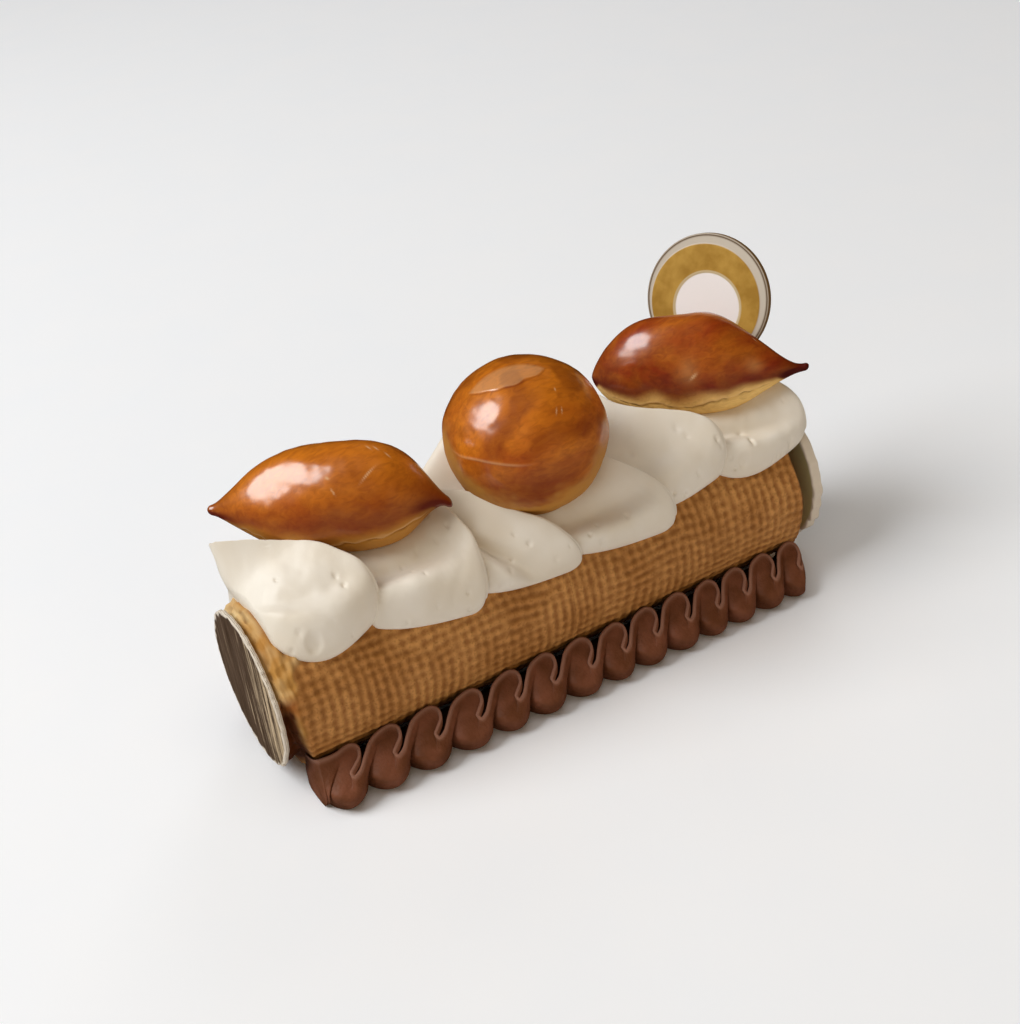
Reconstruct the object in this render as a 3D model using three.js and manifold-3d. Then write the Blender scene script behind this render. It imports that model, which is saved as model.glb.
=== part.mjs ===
// A log-shaped saint-honore: a rolled puff-pastry log between two chocolate discs,
// piped whipped cream along its top, three glazed choux set into the cream, a round
// chocolate medallion behind them and a ruffle of chocolate cream along each side.
// Millimetres. X runs along the log, -Y is the front, +Z is up and the log rests on Z = 0.
import * as THREE from 'three';
import { mergeVertices } from 'three/addons/utils/BufferGeometryUtils.js';
import Module from 'manifold-3d';

// Pastry log
const LOG_RADIUS = 30;
const AXIS_HEIGHT = 29.4;
const LOG_LEFT = -103.5;
const LOG_RIGHT = 97.7;
const LEFT_NECK_RADIUS = 25.5;
const RIGHT_NECK_RADIUS = 18;
const SHOULDER = 1.6;
const LOG_SIDES = 44;
const LOG_RINGS = 7;
const LOG_UNEVENNESS = 0.25;
const UNEVEN_LOBES = 3;
const UNEVEN_LENGTHS = [21, 13];
const RAGGED_EDGE = 0.7;
const RAGGED_LOBES = [5, 2];
const END_BAND = 1;
const LOW_EDGE_SETBACK = 3.2;
const SETBACK_SPAN = [-0.2, 0.8];

// Chocolate discs that close the ends
const DISC_OUTER_FACE = 109.1;
const DISC_HEIGHT = 31.2;
const LEFT_DISC = { radius: 27.5, thickness: 1.7 };
const RIGHT_DISC = { radius: 28.3, thickness: 3.9 };
const DISC_EDGE_ROUND = 0.6;
const DISC_SIDES = 40;
const GAP = 0.3;

// Choux: tip to tip length, half width, height above and depth below the tips, the two powers
// that taper each end, the radius of the round nub at each tip and how far the tip droops
const LEFT_CHOU = {
  centre: [-65.4, 10, 81.1], yaw: -32, length: 81, halfWidth: 17, above: 20.7, below: 16.3,
  tapers: [[2.3, 1.23], [4.5, 2.14]], underside: 1.3, nubs: [1.6, 2.3], droop: [-1, 3.8],
};
const RIGHT_CHOU = {
  centre: [81.2, 6, 76.2], yaw: -35.3, length: 78, halfWidth: 16, above: 24, below: 13.7,
  tapers: [[3.7, 0.87], [2, 1.83]], underside: 0.93, nubs: [2, 1.4], droop: [-2, -1.3],
};
const ROUND_CHOU = { centre: [3.6, -2, 86], radius: 28.1, crown: 26, base: 23.4 };
const CHOU_SIDES = 26;
const CHOU_RINGS = 16;
const CHOU_FLAT = 0.8;
const TIP_POWER = 8;
const POLE = 1e-6;

// Medallion, a disc standing upright in the cream
const MEDALLION = { face: [98.95, 24.5, 94.1], radius: 24.2, thickness: 2.8, facing: 60, lean: 20 };

// Cream petals: X of the crest at each station angle, counted from the log's top
// towards the front, its height, what its back wing adds and how far that spreads, the angles
// where its front edge starts and ends, how far that edge bulges, how late the petal rises, how
// far its back wing leans over to the left, the height of its lower lobe, the depth of the
// valley above the lobe and where the valley starts and ends on the way to the front edge.
const STATIONS = [-52, -22, 0, 20, 40, 60];
const PETALS = [
  { crest: [-80, -97, -80, -67.5, -65.5, -65], height: 18, back: 6.5, spread: 14, start: 28, foot: 40,
    bulge: 20, late: 1, lean: 0.37, lobe: 4, valley: 1.6, fold: [0.3, 0.55] },
  { crest: [-52, -66, -37, -30.5, -30.5, -32], height: 15, back: 5, spread: 9, start: 46, foot: 64,
    bulge: 4, late: 1.6, lean: 0, lobe: 7, valley: 3.6, fold: [0.43, 0.43] },
  { crest: [-26, -46, -27, -15, 0, 7], height: 16, back: 7, spread: 9, start: 47, foot: 63,
    bulge: 6, late: 1.6, lean: 0, lobe: 7, valley: 5.5, fold: [0, 1.6] },
  { crest: [8, -16, 16, 31, 42, 45], height: 14, back: 16, spread: 9, start: 50, foot: 64,
    bulge: 5, late: 1.3, lean: 0, lobe: 6.5, valley: 4.2, fold: [0.68, 0.57] },
  { crest: [52, 44, 50, 68.5, 71.5, 72], height: 18.5, back: 5, spread: 9, start: 47, foot: 43,
    bulge: 4, late: 1.6, lean: 0, lobe: 3, valley: 0.6, fold: [0.5, 0.45] },
  { crest: [80, 72, 98, 107, 108, 107], height: 13, back: 0, spread: 9, start: 39, foot: 43,
    bulge: 12, late: 1.6, lean: 0, lobe: 6, valley: 4, fold: [0.35, 0.75] },
  { crest: [100, 103, 104, 104, 104, 104], height: 16, back: 12, spread: 9, start: 4, foot: 6,
    bulge: 2, late: 1.6, lean: 0, lobe: 2, valley: 0, fold: [0.45, 0.45] },
];
const CREAM_LEFT = -102;
const CREAM_BACK_EDGE = -54;
const CREAM_START_HEIGHT = 5.5;
const CREAM_UNDERCUT = 4;
const CREAM_ROOT_RADIUS = 26;
const LOBE_BELOW_VALLEY = 0.22;
const LOBE_WIDTH = 0.19;
const VALLEY_WIDTH = 0.11;
const WING_ANGLE = -23;
const CORNER_SHARE = 0.16;
const CORNER_CUT = 0.1;
const DOME_POWER = 1.1;
const EDGE_BULGE_POWER = 0.65;
const LOBE_POWER = 0.7;
const VALLEY_POWER = 0.85;
const PETAL_STEPS = 6;
const PETAL_ARCS = 20;

// Ruffle of chocolate cream: a ribbon on edge that folds in and out along the log
const FIRST_FOLD = -95.6;
const FOLD_PITCH = 16.4;
const FOLD_TIGHTENING = 0.172;
const NOMINAL_PITCH = 15;
const RIBBON_START = -1.125;
const RIBBON_END = 13.375;
const RIBBON_END_ROUND = 0.4;
const END_PULL = 0.3;
const END_LOWERING = 0.4;
const FIRST_CREASE = -0.5;
const START_SQUEEZE = 0.5;
const SQUEEZE_LENGTH = 0.4;
const START_SETBACK = 6;
const BELLY_Y = -38;
const BELLY_BULGE = 4.7;
const BELLY_FLOOR = 0.12;
const SCALLOP = 0.97;
const CREASE_DEPTH = 9;
const FLOOR_CREASE = 4;
const FLOOR_CREASE_TOP = 0.35;
const FOLD_DEPTH = 9.6;
const FOLD_OPENS = [0.45, 1];
const LIP_HEIGHT = 10.3;
const LOOP_RISE = 3.8;
const LIP_SHIFT = 2.7;
const FOLD_SLANT = 7;
const RIBBON_THICKNESS = 1.3;
const FILLED_LEVELS = [0.35, 0.85];
const FILLED_FOOT_Y = -20;
const FILLED_GAP = 2;
const STEPS_PER_FOLD = 8;
const RIBBON_LEVELS = 4;
const PHASE_STEP = 0.01;

const wasm = await Module();
wasm.setup();

const radians = THREE.MathUtils.degToRad;
const { lerp, smoothstep } = THREE.MathUtils;

// Moves every vertex of a closed geometry by a formula and leaves only shared positions.
function shaped(geometry, place) {
  const flat = geometry.clone();
  flat.deleteAttribute('normal');
  flat.deleteAttribute('uv');
  const positions = flat.getAttribute('position');
  const point = new THREE.Vector3();
  for (let i = 0; i < positions.count; i += 1) {
    point.fromBufferAttribute(positions, i);
    place(point);
    positions.setXYZ(i, point.x, point.y, point.z);
  }
  return mergeVertices(flat);
}

function toSolid(geometry) {
  return new wasm.Manifold(new wasm.Mesh({
    numProp: 3,
    vertProperties: new Float32Array(geometry.getAttribute('position').array),
    triVerts: new Uint32Array(geometry.index.array),
  }));
}

function toGeometry(solid) {
  const mesh = solid.getMesh();
  const geometry = new THREE.BufferGeometry();
  geometry.setAttribute('position', new THREE.BufferAttribute(mesh.vertProperties, 3));
  geometry.setIndex(new THREE.BufferAttribute(mesh.triVerts, 1));
  return geometry;
}

// A piece turned about the X axis from a profile of [x, radius] pairs, on the log's axis.
function turned(profile, sides, height) {
  const outline = profile.map(([x, radius]) => new THREE.Vector2(radius, x));
  const lathe = new THREE.LatheGeometry(outline, sides);
  return shaped(lathe, (p) => p.set(p.y, p.x, height - p.z));
}

function pastryLog() {
  const profile = [
    [-DISC_OUTER_FACE + LEFT_DISC.thickness + GAP, 0],
    [-DISC_OUTER_FACE + LEFT_DISC.thickness + GAP, LEFT_NECK_RADIUS],
    [LOG_LEFT - SHOULDER, LOG_RADIUS - SHOULDER],
  ];
  for (let i = 0; i <= LOG_RINGS; i += 1) {
    profile.push([lerp(LOG_LEFT, LOG_RIGHT, i / LOG_RINGS), LOG_RADIUS]);
  }
  const rightNeckEnd = DISC_OUTER_FACE - RIGHT_DISC.thickness - GAP;
  profile.push([LOG_RIGHT + SHOULDER, LOG_RADIUS - SHOULDER]);
  profile.push([LOG_RIGHT + SHOULDER, RIGHT_NECK_RADIUS]);
  profile.push([rightNeckEnd, RIGHT_NECK_RADIUS]);
  profile.push([rightNeckEnd, 0]);
  const smooth = turned(profile, LOG_SIDES, 0);
  // The rolled sheet is a little uneven, its ends are ragged and it is flat underneath.
  return shaped(smooth, (p) => {
    const angle = Math.atan2(p.z, p.y);
    const radius = Math.hypot(p.y, p.z);
    if (radius > LOG_RADIUS - LOG_UNEVENNESS) {
      const around = Math.sin(UNEVEN_LOBES * angle + p.x / UNEVEN_LENGTHS[0]);
      const wave = around * Math.cos(p.x / UNEVEN_LENGTHS[1]);
      const swollen = radius + LOG_UNEVENNESS * wave;
      p.y *= swollen / radius;
      p.z *= swollen / radius;
    }
    if (Math.abs(p.x) > LOG_RIGHT - END_BAND && radius > LEFT_NECK_RADIUS + END_BAND) {
      p.x += RAGGED_EDGE * Math.sin(RAGGED_LOBES[0] * angle + 1) * Math.sin(RAGGED_LOBES[1] * angle);
      if (p.x < 0) {
        p.x += LOW_EDGE_SETBACK * smoothstep(-p.z / radius, ...SETBACK_SPAN);
      }
    }
    p.z = Math.max(p.z + AXIS_HEIGHT, 0);
  });
}

function endDisc(side, { radius, thickness }, grow = 0) {
  const outer = side * (DISC_OUTER_FACE + grow);
  const inner = side * (DISC_OUTER_FACE - thickness - grow);
  const [low, high] = side < 0 ? [outer, inner] : [inner, outer];
  const rim = radius + grow;
  return turned([
    [low, 0],
    [low, rim - DISC_EDGE_ROUND],
    [low + DISC_EDGE_ROUND, rim],
    [high - DISC_EDGE_ROUND, rim],
    [high, rim - DISC_EDGE_ROUND],
    [high, 0],
  ], DISC_SIDES, DISC_HEIGHT);
}

// A lemon-shaped chou: its poles are the two drawn-out tips, each with a round nub, and its
// section is a dome on a flat base.
function longChou(size, grow = 0) {
  const { centre, yaw, length, halfWidth, above, below, tapers, underside, nubs, droop } = size;
  const turn = radians(yaw);
  return shaped(new THREE.SphereGeometry(1, CHOU_SIDES, CHOU_RINGS), (p) => {
    const along = p.y;
    const far = Math.min(Math.abs(along), 1);
    const ring = Math.hypot(p.x, p.z);
    const across = ring > POLE ? -p.x / ring : 0;
    const up = ring > POLE ? p.z / ring : 0;
    const end = along < 0 ? 0 : 1;
    const [power, root] = tapers[end];
    const girth = Math.pow(1 - Math.pow(far, power), root);
    const nubShare = nubs[end] / (length / 2);
    const intoNub = Math.max((far - 1 + nubShare) / nubShare, 0);
    const nub = nubs[end] * Math.sqrt(Math.max(1 - intoNub * intoNub, 0));
    const reach = along * (length / 2 + grow);
    const side = across * (Math.hypot(halfWidth * girth, nub) + grow * ring);
    const depth = up > 0 ? above * girth : below * Math.pow(girth, underside);
    const height = up * (Math.hypot(depth, nub) + grow * ring);
    const base = -CHOU_FLAT * below - grow;
    const rise = Math.max(height, base) - droop[end] * Math.pow(far, TIP_POWER);
    p.set(
      centre[0] + reach * Math.cos(turn) - side * Math.sin(turn),
      centre[1] + reach * Math.sin(turn) + side * Math.cos(turn),
      centre[2] + rise,
    );
  });
}

function roundChou({ centre, radius, crown, base }, grow = 0) {
  return shaped(new THREE.SphereGeometry(radius + grow, CHOU_SIDES, CHOU_RINGS), (p) => {
    const height = p.y > 0 ? p.y * crown / radius : Math.max(p.y, -base - grow);
    p.set(p.x, -p.z, height).add(new THREE.Vector3(...centre));
  });
}

// The medallion's disc, its face turned to the front left.
function medallion({ face, radius, thickness, facing, lean }, grow = 0) {
  const disc = new THREE.CylinderGeometry(radius + grow, radius + grow, thickness + 2 * grow, DISC_SIDES);
  const turn = radians(facing);
  const tilt = radians(lean);
  const outward = new THREE.Vector3(-Math.sin(turn), -Math.cos(turn), Math.tan(tilt)).normalize();
  const sideways = new THREE.Vector3(Math.cos(turn), -Math.sin(turn), 0);
  const downward = new THREE.Vector3().crossVectors(sideways, outward);
  const middle = new THREE.Vector3(...face).addScaledVector(outward, -thickness / 2);
  return shaped(disc, (p) => {
    const { x, y, z } = p;
    p.copy(middle).addScaledVector(sideways, x).addScaledVector(outward, y).addScaledVector(downward, z);
  });
}

const bell = (value, place, width) => Math.exp(-Math.pow((value - place) / width, 2));

// X of a crest at an angle from the log's top, by a curve through the station values.
const crestCurves = PETALS.map(({ crest }) => new THREE.SplineCurve(
  crest.map((x, i) => new THREE.Vector2(STATIONS[i], x)),
));

function crestX(petal, angle) {
  if (petal < 0) {
    return CREAM_LEFT;
  }
  const last = STATIONS.length - 1;
  const clamped = THREE.MathUtils.clamp(angle, STATIONS[0], STATIONS[last]);
  let i = 0;
  while (i < last - 1 && clamped > STATIONS[i + 1]) {
    i += 1;
  }
  const t = (clamped - STATIONS[i]) / (STATIONS[i + 1] - STATIONS[i]);
  return crestCurves[petal].getPoint((i + t) / last).y;
}

// One petal over the log: t runs from under the last crest to its own, arc from back to front.
function petalPoint(petal, t, arc, top) {
  const { height, back, spread, start, foot, bulge, late, lean, lobe, valley, fold } = PETALS[petal];
  const bulged = lerp(start, foot, t) + bulge * Math.sin(Math.PI * Math.pow(t, EDGE_BULGE_POWER));
  const edge = bulged * (1 - CORNER_CUT * smoothstep(t, 1 - CORNER_SHARE, 1));
  const reach = arc > 0 ? edge : -CREAM_BACK_EDGE;
  const angle = reach * Math.sin(arc * Math.PI / 2);
  const share = Math.abs(angle) / reach;
  const dome = Math.pow(Math.max(Math.cos(arc * Math.PI / 2), 0), DOME_POWER);
  const near = bell(angle, WING_ANGLE, spread);
  const wing = lerp(CREAM_START_HEIGHT, height + near * back, Math.pow(t, late));
  // The lobe and the valley run beside the line of the fold, at distances square to it.
  const below = (share - lerp(fold[0], fold[1], t)) / Math.hypot(1, fold[1] - fold[0]);
  const swell = bell(below, LOBE_BELOW_VALLEY, LOBE_WIDTH) * Math.sin(Math.PI * Math.pow(t, LOBE_POWER));
  const dip = bell(below, 0, VALLEY_WIDTH) * Math.sin(Math.PI * Math.pow(t, VALLEY_POWER));
  const rise = (wing + lobe * swell - (arc > 0 ? valley * dip : 0)) * dome;
  const before = crestX(petal - 1, angle) - (petal > 0 ? CREAM_UNDERCUT : 0);
  const leaning = top ? lean * near * rise : 0;
  const radius = top ? LOG_RADIUS + rise : CREAM_ROOT_RADIUS;
  const turn = radians(angle);
  return new THREE.Vector3(
    lerp(before, crestX(petal, angle), t) - leaning,
    -radius * Math.sin(turn),
    AXIS_HEIGHT + radius * Math.cos(turn),
  );
}

function petal(index) {
  const block = new THREE.BoxGeometry(1, 2, 1, PETAL_STEPS, PETAL_ARCS, 1);
  return shaped(block, (p) => p.copy(petalPoint(index, p.x + 0.5, -p.y, p.z > 0)));
}

function whippedCream(cutters) {
  let cream = toSolid(petal(0));
  for (let i = 1; i < PETALS.length; i += 1) {
    cream = cream.add(toSolid(petal(i)));
  }
  const core = turned([
    [-DISC_OUTER_FACE, 0],
    [-DISC_OUTER_FACE, LOG_RADIUS + LOG_UNEVENNESS + GAP],
    [DISC_OUTER_FACE - RIGHT_DISC.thickness - GAP, LOG_RADIUS + LOG_UNEVENNESS + GAP],
    [DISC_OUTER_FACE - RIGHT_DISC.thickness - GAP, 0],
  ], LOG_SIDES, AXIS_HEIGHT);
  cream = cream.subtract(toSolid(core));
  for (const cutter of cutters) {
    cream = cream.subtract(toSolid(cutter));
  }
  const pieces = cream.decompose();
  pieces.sort((a, b) => b.volume() - a.volume());
  return toGeometry(pieces[0]);
}

// The ribbon's outer face at a fold phase and a height share, from floor to lip. Low down its
// plan is a row of round scallops, and towards the lip it opens into slanting folds that swing
// back to the log. Before the first crease it is squeezed together and set back.
function ribbonFace(phase, level) {
  const started = Math.max(phase, 0);
  const even = Math.max(phase, FIRST_CREASE);
  const squeezed = Math.min(phase - FIRST_CREASE, 0);
  const tight = lerp(1, START_SQUEEZE, smoothstep(-squeezed, 0, SQUEEZE_LENGTH));
  const spread = (FOLD_PITCH - 2 * FOLD_TIGHTENING * started) / NOMINAL_PITCH * tight;
  const back = (1 - Math.cos(2 * Math.PI * phase)) / 2;
  const fromMiddle = 2 * SCALLOP * (phase - Math.round(phase));
  const scallop = 1 - Math.sqrt(1 - fromMiddle * fromMiddle);
  const bulge = Math.sin(Math.PI * lerp(BELLY_FLOOR, 1, level));
  const opened = smoothstep(level, ...FOLD_OPENS);
  const crease = CREASE_DEPTH + FLOOR_CREASE * (1 - smoothstep(level, 0, FLOOR_CREASE_TOP));
  const x = FIRST_FOLD + FOLD_PITCH * (even + START_SQUEEZE * squeezed)
    - FOLD_TIGHTENING * started * started + spread * opened * (LIP_SHIFT + FOLD_SLANT * back);
  const y = BELLY_Y - BELLY_BULGE * bulge + lerp(crease * scallop, FOLD_DEPTH * back, opened)
    + START_SETBACK * (1 - back) * smoothstep(-squeezed, 0, SQUEEZE_LENGTH);
  const z = level * (LIP_HEIGHT + LOOP_RISE * back);
  return new THREE.Vector3(x, y, z);
}

// The inner face follows the outer one at the lip and lower down fills up to the log. Both ends
// of the ribbon are lowered and drawn back to the log.
function ribbonPoint(phase, level, inner) {
  const point = ribbonFace(phase, level);
  if (inner) {
    const ahead = ribbonFace(phase + PHASE_STEP, level).sub(ribbonFace(phase - PHASE_STEP, level));
    const inward = new THREE.Vector3(-ahead.y, ahead.x, 0).normalize();
    point.addScaledVector(inward, RIBBON_THICKNESS * smoothstep(level, ...FOLD_OPENS));
    const drop = AXIS_HEIGHT - point.z;
    const logFront = -Math.sqrt(Math.max(LOG_RADIUS * LOG_RADIUS - drop * drop, 0)) - FILLED_GAP;
    const filling = Math.max(point.y, Math.min(FILLED_FOOT_Y, logFront));
    point.y = lerp(filling, point.y, smoothstep(level, ...FILLED_LEVELS));
  }
  const fromEnd = Math.min(phase - RIBBON_START, RIBBON_END - phase);
  const ending = 1 - smoothstep(fromEnd, 0, RIBBON_END_ROUND);
  point.z *= 1 - END_LOWERING * ending;
  point.y = lerp(point.y, FILLED_FOOT_Y, END_PULL * ending);
  return point;
}

function ruffle(side) {
  const steps = Math.round((RIBBON_END - RIBBON_START) * STEPS_PER_FOLD);
  const block = new THREE.BoxGeometry(1, 1, 1, steps, 1, RIBBON_LEVELS);
  const ribbon = shaped(block, (p) => {
    const phase = lerp(RIBBON_START, RIBBON_END, p.x + 0.5);
    p.copy(ribbonPoint(phase, p.z + 0.5, p.y > 0));
  });
  if (side < 0) {
    return ribbon;
  }
  // The back ruffle is the front one turned half round.
  return shaped(ribbon, (p) => p.set(LOG_LEFT + LOG_RIGHT - p.x, -p.y, p.z));
}

const finishes = {
  pastry: { color: 0xa8763a, roughness: 0.75, metalness: 0 },
  darkChocolate: { color: 0x5a4436, roughness: 0.5, metalness: 0 },
  cream: { color: 0xe8e2d6, roughness: 0.55, metalness: 0 },
  milkChocolate: { color: 0x744a36, roughness: 0.6, metalness: 0 },
  amberGlaze: { color: 0xa05010, roughness: 0.25, metalness: 0 },
  redGlaze: { color: 0x86300e, roughness: 0.2, metalness: 0 },
  gold: { color: 0xa8801e, roughness: 0.4, metalness: 0.3 },
};

const cake = new THREE.Group();

function addPiece(name, geometry, finish) {
  geometry.computeVertexNormals();
  const mesh = new THREE.Mesh(geometry, new THREE.MeshStandardMaterial(finishes[finish]));
  mesh.name = name;
  cake.add(mesh);
}

const cutters = [
  longChou(LEFT_CHOU, GAP),
  roundChou(ROUND_CHOU, GAP),
  longChou(RIGHT_CHOU, GAP),
  medallion(MEDALLION, GAP),
  endDisc(-1, LEFT_DISC, GAP),
  endDisc(1, RIGHT_DISC, GAP),
];

addPiece('pastry_log', pastryLog(), 'pastry');
addPiece('end_disc_left', endDisc(-1, LEFT_DISC), 'darkChocolate');
addPiece('end_disc_right', endDisc(1, RIGHT_DISC), 'darkChocolate');
addPiece('whipped_cream', whippedCream(cutters), 'cream');
addPiece('ruffle_front', ruffle(-1), 'milkChocolate');
addPiece('ruffle_back', ruffle(1), 'milkChocolate');
addPiece('chou_left', longChou(LEFT_CHOU), 'amberGlaze');
addPiece('chou_round', roundChou(ROUND_CHOU), 'amberGlaze');
addPiece('chou_right', longChou(RIGHT_CHOU), 'redGlaze');
addPiece('medallion', medallion(MEDALLION), 'gold');

export default cake;
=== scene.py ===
"""A log-shaped saint-honore cake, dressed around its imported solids.

Shapes are worked out in millimetres on numpy grids and turned to metres when a mesh is made.
X runs along the log, -Y is the front and Z is up. Angles round the log count from its top
towards the front.
"""

import bpy
import numpy as np
from mathutils import Matrix


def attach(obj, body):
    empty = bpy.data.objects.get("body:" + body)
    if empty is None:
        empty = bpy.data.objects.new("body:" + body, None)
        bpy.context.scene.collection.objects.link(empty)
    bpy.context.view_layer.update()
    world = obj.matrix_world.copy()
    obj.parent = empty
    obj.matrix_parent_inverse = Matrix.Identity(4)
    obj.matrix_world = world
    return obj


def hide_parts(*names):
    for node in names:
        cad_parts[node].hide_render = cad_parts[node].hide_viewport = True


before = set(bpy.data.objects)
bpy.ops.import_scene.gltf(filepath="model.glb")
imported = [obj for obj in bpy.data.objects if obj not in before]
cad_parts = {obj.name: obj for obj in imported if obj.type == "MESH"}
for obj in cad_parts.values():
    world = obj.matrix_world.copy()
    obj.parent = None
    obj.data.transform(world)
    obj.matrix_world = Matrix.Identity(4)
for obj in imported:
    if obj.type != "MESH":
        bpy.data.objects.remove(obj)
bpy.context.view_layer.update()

MILLIMETRE = 0.001
# Waves in each smooth unevenness
WAVES = 18

# Pastry log
LOG_RADIUS = 30.0
AXIS_HEIGHT = 29.4
LOG_LEFT = -103.5
LOG_RIGHT = 97.7
SHOULDER = 1.6
LEFT_NECK_RADIUS = 25.5
RIGHT_NECK_RADIUS = 18.0
LEFT_NECK_END = -107.2
RIGHT_NECK_END = 104.9
LOG_UNEVENNESS = 0.25
RAGGED_EDGE = 0.7
RAGGED_FADE = 28.0
LOW_EDGE_SETBACK = 3.2
IMPRINT_PITCH = 3.35
IMPRINT_DEPTH = 0.45
IMPRINT_WANDER = 0.45
NECK_RECESS = 3.5
SAMPLE_STEP = 0.45
LOG_SEED = 11
# Angles between which the log shows and is sampled closely
SHOWS_FROM = 44.0
SHOWS_TO = 166.0
# Flaky left end: how much further it runs along the log at its longest, and the angle there
FLAKY_LENGTH = 5.0
FLAKY_ANGLE = 44.0

# Chocolate discs that close the ends
DISC_OUTER_FACE = 109.1
DISC_HEIGHT = 31.2
DISC_EDGE_ROUND = 0.6
DISC_AROUND = 260
LEFT_DISC = {"radius": 27.5, "thickness": 1.7, "seed": 21}
RIGHT_DISC = {"radius": 28.3, "thickness": 3.9, "seed": 26}

# Long choux. A taper is the powers p and q of the girth. Droop, nubs and dark tips are for the
# left and the right tip. The browned patch and the bubbles give a share of the half length
# and an angle round the chou, and flank is how far the upper left side is flattened. A scratch
# is its middle along and around the chou, its length and its slope.
LEFT_CHOU = {
    "centre": (-65.4, 10.0, 81.1), "yaw": -32.0, "length": 81.0, "half_width": 17.0, "above": 20.7,
    "below": 16.3, "left_taper": (2.3, 1.23), "right_taper": (4.5, 1.9), "underside": 1.3,
    "droop": (-1.0, 4.4), "nubs": (1.6, 1.8), "dark_tips": (0.5, 0.9), "caramel_line": -0.16,
    "sheer_and_top_light": 0.75, "bubbles": (), "browned": (0.3, 138.0), "flank": 2.7, "seed": 101,
    "scratches": (
        (16.5, 27.6, 1.5, 0.9), (18.8, 27.4, 1.5, 0.9), (22.5, 29.6, 1.5, 0.9),
        (16.5, 38.0, 3.6, -1.1), (3.6, 38.6, 1.2, 0.3), (5.2, 42.6, 1.0, 1.4),
    ),
}
RIGHT_CHOU = {
    "centre": (81.2, 6.0, 76.2), "yaw": -35.3, "length": 78.0, "half_width": 16.0, "above": 24.0,
    "below": 13.7, "left_taper": (3.7, 0.87), "right_taper": (2.0, 1.83), "underside": 0.93,
    "droop": (-2.0, -1.3), "nubs": (2.0, 1.4), "dark_tips": (0.3, 1.0), "caramel_line": 0.0,
    "sheer_and_top_light": 0.1, "bubbles": ((-0.1, 156.0), (0.5, 150.0)), "browned": (-0.6, 150.0), "flank": 0.0,
    "seed": 121, "scratches": ((-2.0, 45.0, 2.2, -0.6), (20.0, 27.0, 1.4, 0.5)),
}
LONG_CHOU_GRID = (220, 240)
CHOU_FLAT = 0.8
# Flattened side: its middle and width along the half length, and round the chou
FLANK_ALONG = (-0.36, 0.27)
FLANK_AROUND = (125.0, 38.0)
# Turn of the streaks in the caramel
CHOUX_TURN = 33.6

# Round chou
ROUND_CHOU = {
    "centre": (3.6, -2.0, 86.0), "radius": 28.1, "crown": 26.0, "base": 23.4, "seed": 141,
    "scratches": ((134.0, 20.0, 1.4, 1.2), (136.5, 19.5, 1.2, 1.4), (141.0, 27.0, 1.2, 0.6)),
}
ROUND_CHOU_GRID = (210, 300)
# Bearings round it, from +X towards +Y: the side that faces the camera, and its left
FRONT_BEARING = 238.0
LEFT_BEARING = 172.0
# Thin ridge in the caramel: where it starts and ends, each as a pair to ease over, and its place
RIDGE_STARTS = (172.0, 200.0)
RIDGE_ENDS = (228.0, 250.0)
RIDGE_LATITUDE = 10.0
RIDGE_WIDTH = 0.8
# Latitude where the caramel ends in front, and how much higher it ends behind and at the left
CARAMEL_LATITUDE = -22.0
CARAMEL_BEHIND = 25.0
CARAMEL_LEFT = 20.0
# Cracked flake on the round chou, on a unit ball seen from above: its left tip, the way it runs,
# and how far it bows to the front and to the back
FLAKE_TIP = (-0.64, 0.15)
FLAKE_RUN = (0.937, -0.349)
FLAKE_FRONT = 0.265
FLAKE_BACK = 0.123

# Medallion, and the middles and outer radii of its printed ring and of the white inside it
MEDALLION = {"face": (98.95, 24.5, 94.1), "radius": 24.2, "thickness": 2.8, "facing": 60.0, "lean": 20.0}
MEDALLION_EDGE_ROUND = 0.5
MEDALLION_AROUND = 220
RING_MIDDLE = (-0.6, 1.2)
RING_RADIUS = 21.3
WHITE_MIDDLE = (0.4, 2.9)
WHITE_RADIUS = 12.4
PRINT_RELIEF = 0.2

# Cream petals: crest X at the station angles, height, what the back wing adds and how far it
# spreads, angles of the front edge where it starts and at its foot, its bulge, how late the petal
# rises, how far its wing leans left, the height of its lower lobe, the depth of the valley above
# the lobe and where the valley runs, as shares of the way from the top to the front edge
STATIONS = np.array([-52.0, -22.0, 0.0, 20.0, 40.0, 60.0])
PETAL_PARTS = (
    "crest", "height", "back", "spread", "start", "foot", "bulge", "late", "lean", "lobe", "valley", "fold",
)
PETALS = [dict(zip(PETAL_PARTS, row)) for row in (
    ((-80, -97, -80, -67.5, -65.5, -65), 18.0, 6.5, 14.0, 28.0, 40.0, 20.0, 1.0, 0.37, 4.0, 1.6, (0.3, 0.55)),
    ((-52, -66, -37, -30.5, -30.5, -32), 15.0, 5.0, 9.0, 46.0, 64.0, 4.0, 1.6, 0.0, 7.0, 3.6, (0.43, 0.43)),
    ((-26, -46, -27, -15, 0, 7), 16.0, 7.0, 9.0, 47.0, 63.0, 6.0, 1.6, 0.0, 7.0, 5.5, (0.0, 1.6)),
    ((8, -16, 16, 31, 42, 45), 14.0, 16.0, 9.0, 50.0, 64.0, 5.0, 1.3, 0.0, 6.5, 4.2, (0.68, 0.57)),
    ((52, 44, 50, 68.5, 71.5, 72), 18.5, 5.0, 9.0, 47.0, 43.0, 4.0, 1.6, 0.0, 3.0, 0.6, (0.5, 0.45)),
    ((80, 72, 98, 107, 108, 107), 13.0, 0.0, 9.0, 39.0, 43.0, 12.0, 1.6, 0.0, 6.0, 4.0, (0.35, 0.75)),
    ((100, 103, 104, 104, 104, 104), 16.0, 12.0, 9.0, 4.0, 6.0, 2.0, 1.6, 0.0, 2.0, 0.0, (0.45, 0.45)),
)]
PETAL_GRID = (110, 210)
CREAM_LEFT = -102.0
CREAM_BACK_EDGE = 54.0
CREAM_START_HEIGHT = 5.5
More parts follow.
